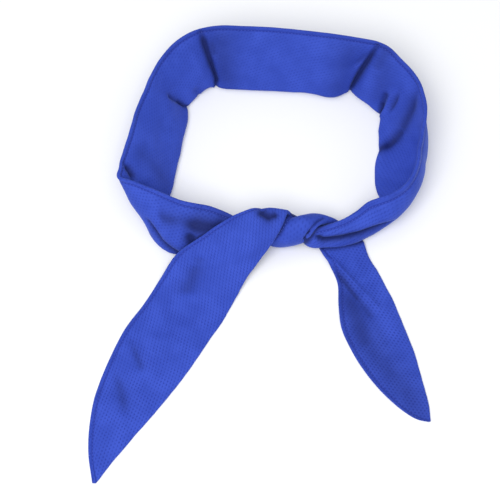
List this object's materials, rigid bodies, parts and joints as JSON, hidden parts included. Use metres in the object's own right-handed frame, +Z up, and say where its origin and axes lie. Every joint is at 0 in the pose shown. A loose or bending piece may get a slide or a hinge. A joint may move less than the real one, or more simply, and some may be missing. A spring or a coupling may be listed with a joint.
{
  "type": "cooling neck wrap",
  "caption": "Padded mesh-cloth neck wrap, tied in front in a half knot with two pointed tails and laid on a surface.",
  "frame": {"origin": "on the surface the wrap lies on, under the middle of its bounding box", "axes": "+X across the loop towards the right tail's side, +Y from the tails to the back of the loop, +Z up"},
  "size_m": [0.269, 0.3802, 0.0485],
  "materials": {
    "padded_cloth": "royal-blue bird's-eye mesh knit over a soft pad",
    "tie_cloth": "royal-blue bird's-eye mesh knit, two layers with a stitched hem"
  },
  "bodies": {
    "root": {"neck_band": "padded_cloth", "left_tie": "tie_cloth", "right_tie": "tie_cloth"}
  },
  "joints": []
}
